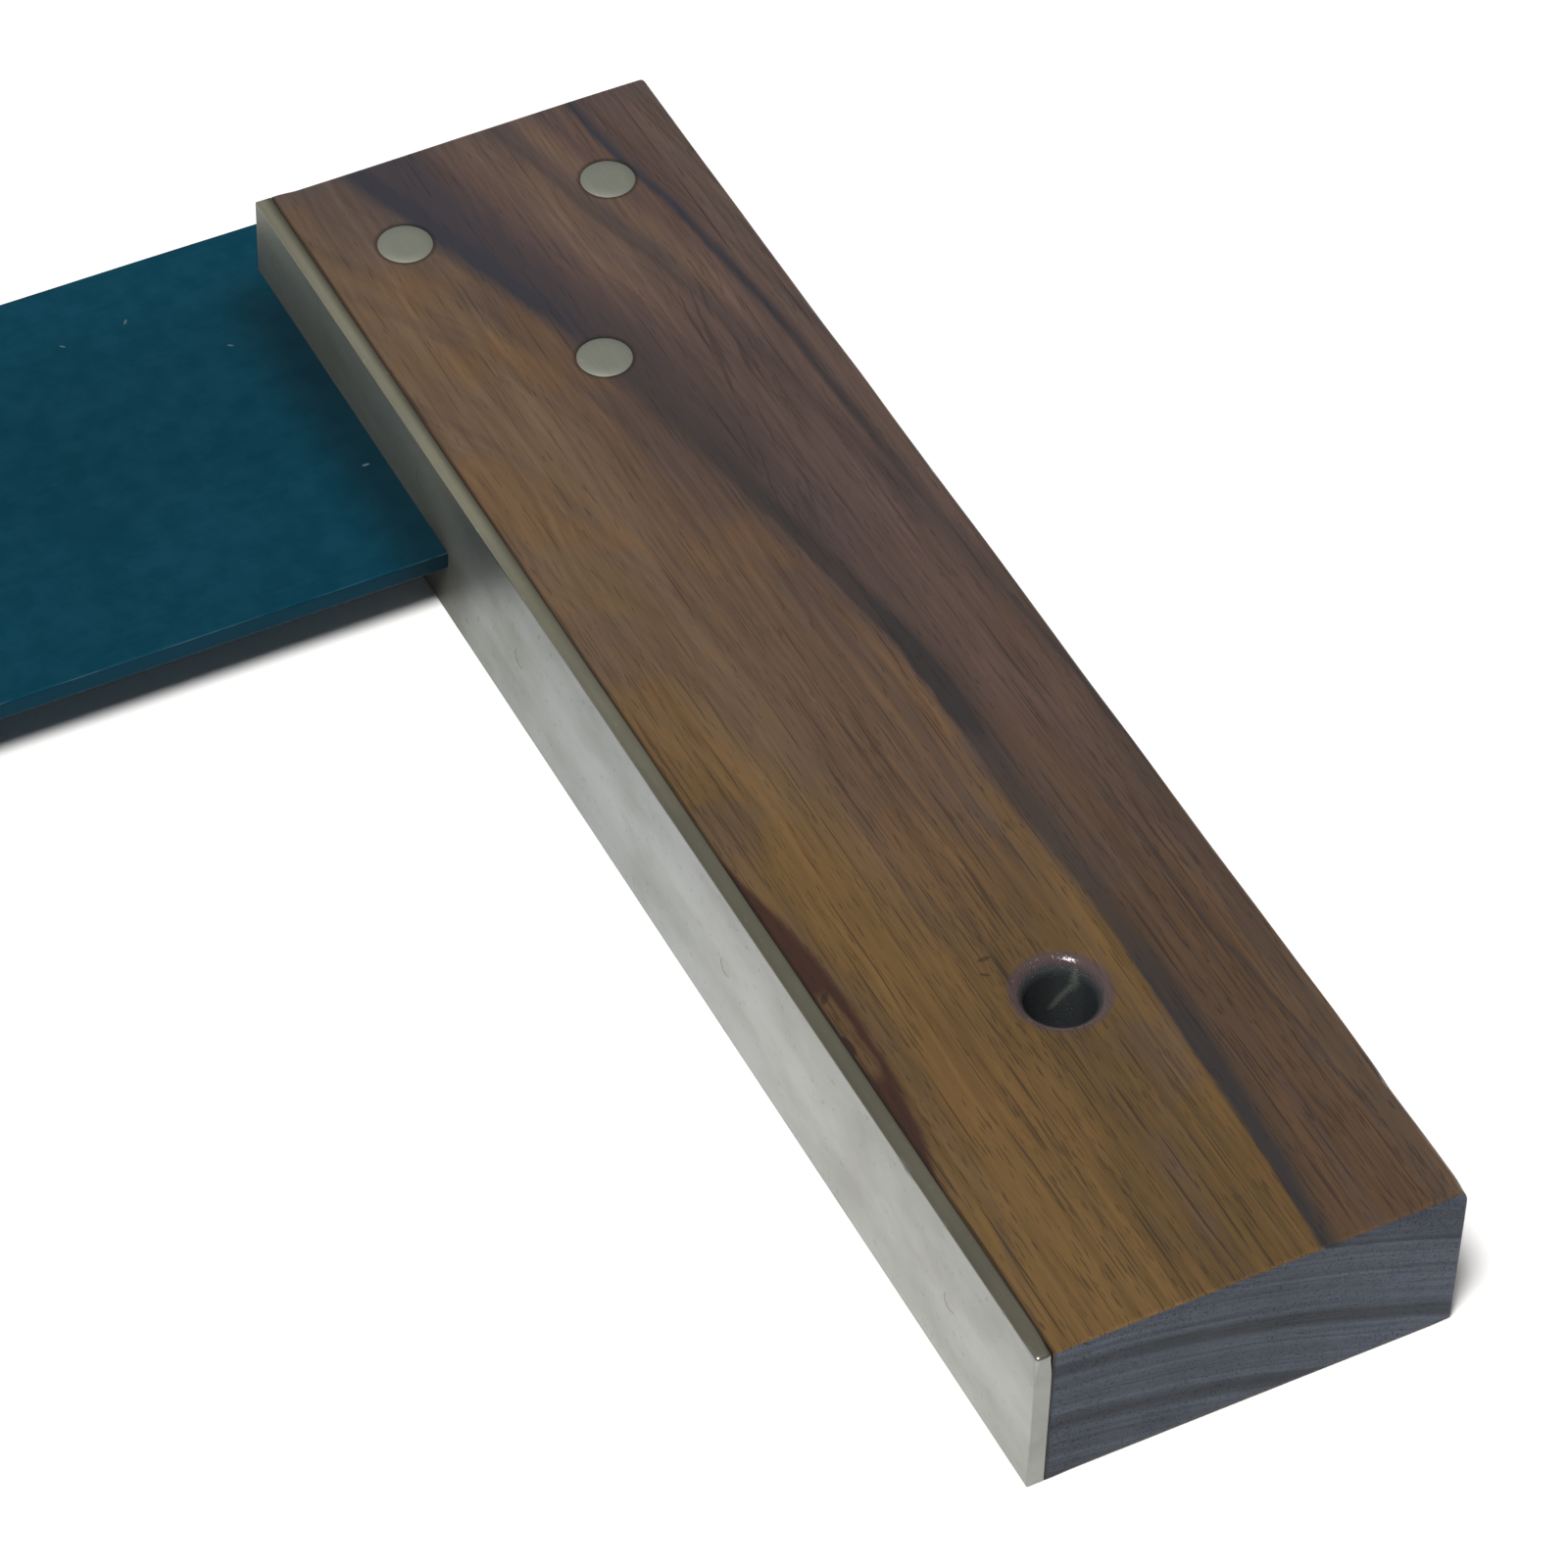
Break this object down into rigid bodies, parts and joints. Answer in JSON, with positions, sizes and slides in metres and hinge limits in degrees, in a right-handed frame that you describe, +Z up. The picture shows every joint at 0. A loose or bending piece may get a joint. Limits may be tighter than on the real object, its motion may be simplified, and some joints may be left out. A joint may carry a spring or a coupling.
{
  "type": "try square",
  "caption": "Carpenter's try square: a brass-faced hardwood stock with a hanging hole, and a blued steel blade riveted at a right angle into its slotted end.",
  "frame": {"origin": "on the underside of the stock, below the middle of the box around the whole square, which lies on its side", "axes": "+X along the blade, from its tip towards the stock; +Y along the stock, towards the end that holds the blade; +Z up, through the stock's thickness"},
  "size_m": [0.273, 0.169, 0.0175],
  "materials": {
    "rosewood": "oiled rosewood-like hardwood, dark brown with near-black veins, satin",
    "brass_face": "pale brass, ground flat and satin, finely scratched",
    "blued_steel": "blue-black oxide on spring steel, semi-matt, finely mottled and scratched",
    "rivet_brass": "dull brass, filed flush",
    "pin_brass": "pale brass, ground flush with the face plate"
  },
  "bodies": {
    "root": {"stock": "rosewood", "face_plate": "brass_face", "blade": "blued_steel", "blade_rivet_outer_front": "rivet_brass", "blade_rivet_outer_back": "rivet_brass", "blade_rivet_inner": "rivet_brass", "plate_pin_upper_prong_1": "pin_brass", "plate_pin_lower_prong_1": "pin_brass", "plate_pin_upper_prong_2": "pin_brass", "plate_pin_lower_prong_2": "pin_brass", "plate_pin_body_1": "pin_brass", "plate_pin_body_2": "pin_brass", "plate_pin_body_3": "pin_brass"}
  },
  "joints": []
}
